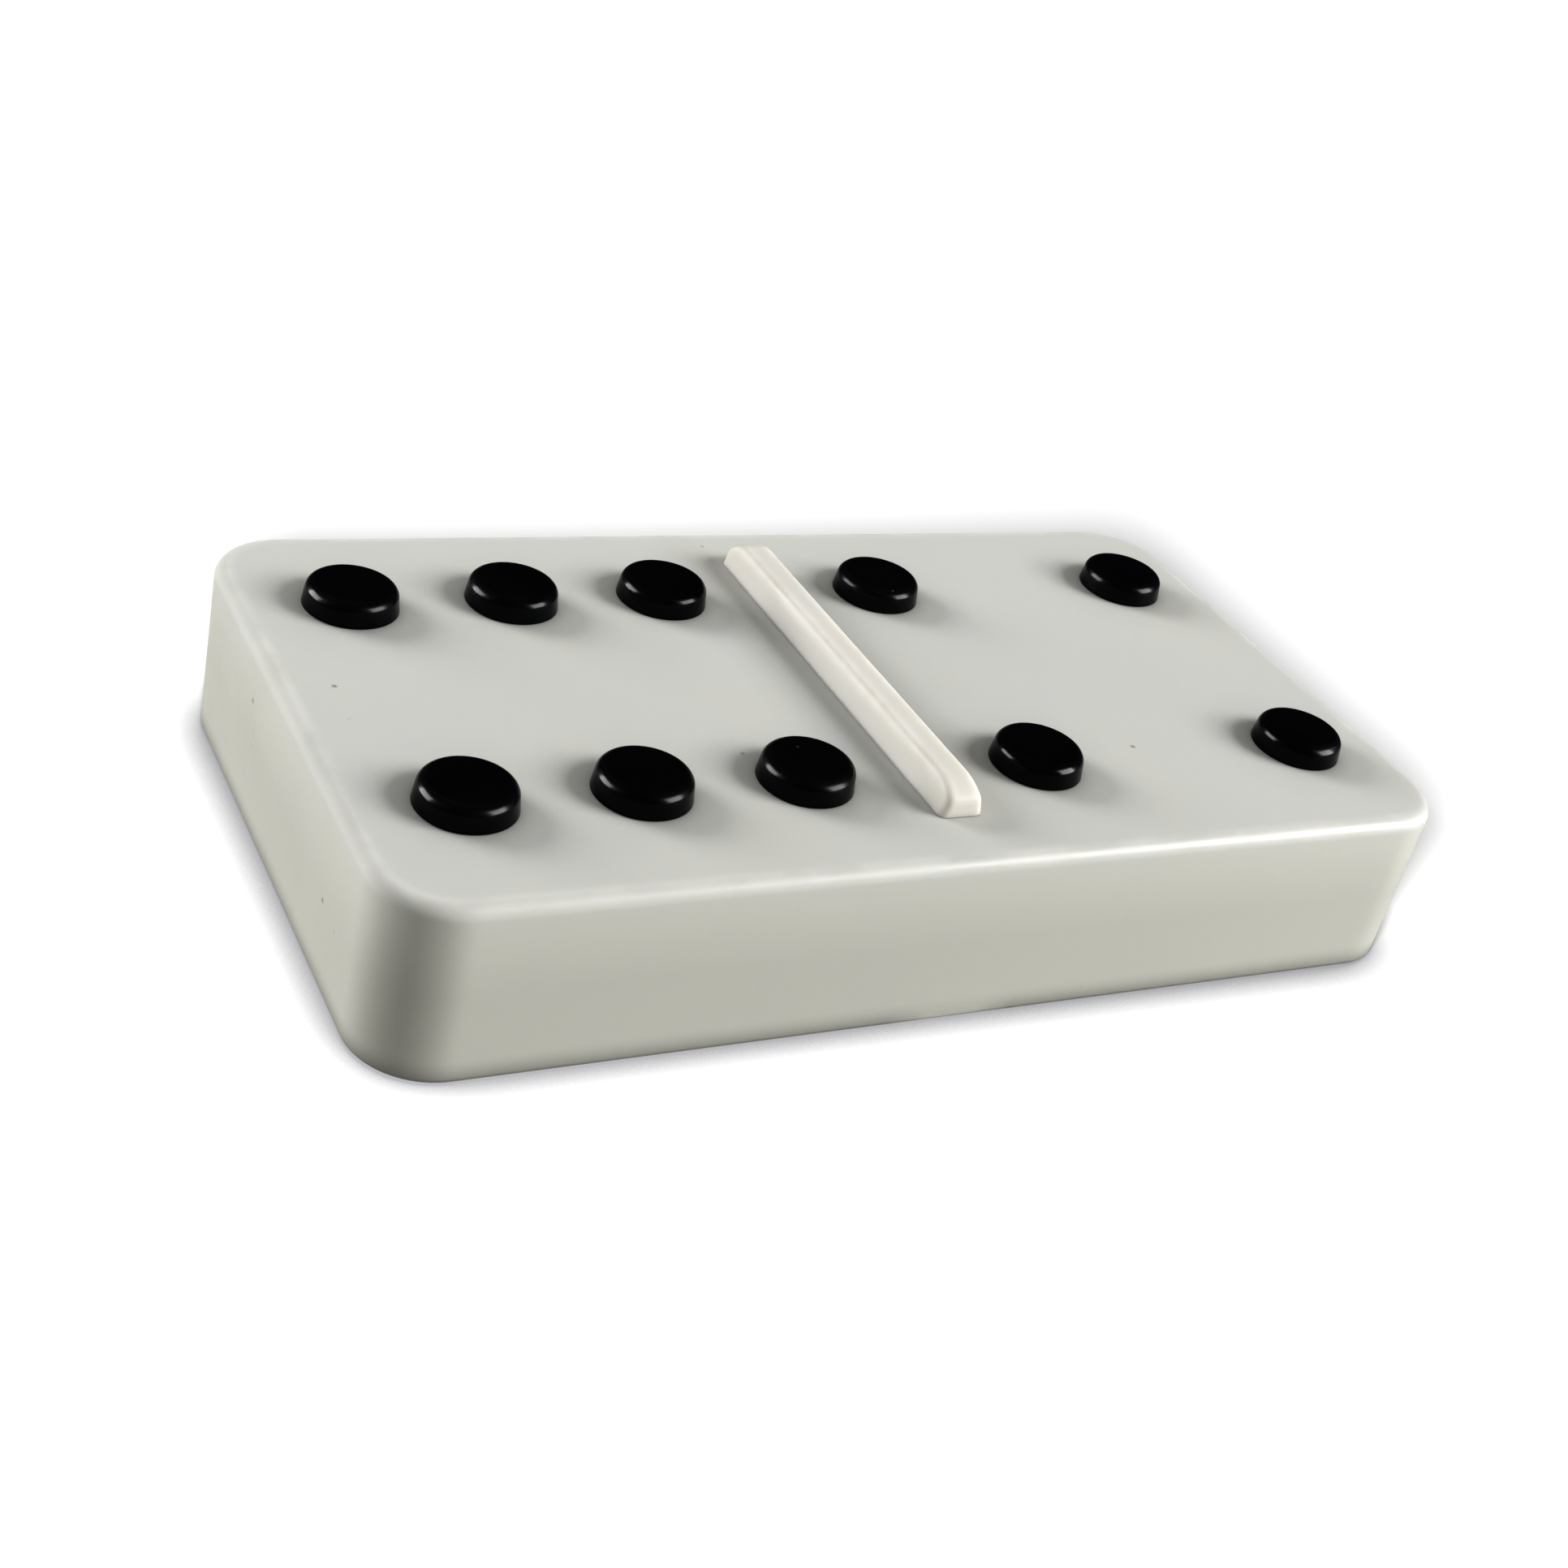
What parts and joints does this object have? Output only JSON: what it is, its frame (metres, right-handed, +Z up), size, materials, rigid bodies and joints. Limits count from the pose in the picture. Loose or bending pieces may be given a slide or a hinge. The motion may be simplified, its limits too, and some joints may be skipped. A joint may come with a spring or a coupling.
{
  "type": "tactile domino tile",
  "caption": "White rounded domino tile read by touch, with raised black pips on both halves and a raised divider bar between them.",
  "frame": {"origin": "middle of the flat underside", "axes": "+X along the tile from the six-pip half to the four-pip half, +Y across the tile along the divider bar, +Z up out of the pip face"},
  "size_m": [0.05, 0.028, 0.0094],
  "materials": {
    "body_plastic": "glossy ivory white moulded plastic",
    "divider_plastic": "glossy warm white moulded plastic, a little lighter than the block",
    "pip_plastic": "polished black moulded plastic"
  },
  "bodies": {
    "root": {"tile_body": "body_plastic", "divider_bar": "divider_plastic", "pip_six_1": "pip_plastic", "pip_six_2": "pip_plastic", "pip_six_3": "pip_plastic", "pip_six_4": "pip_plastic", "pip_six_5": "pip_plastic", "pip_six_6": "pip_plastic", "pip_four_1": "pip_plastic", "pip_four_2": "pip_plastic", "pip_four_3": "pip_plastic", "pip_four_4": "pip_plastic"}
  },
  "joints": []
}
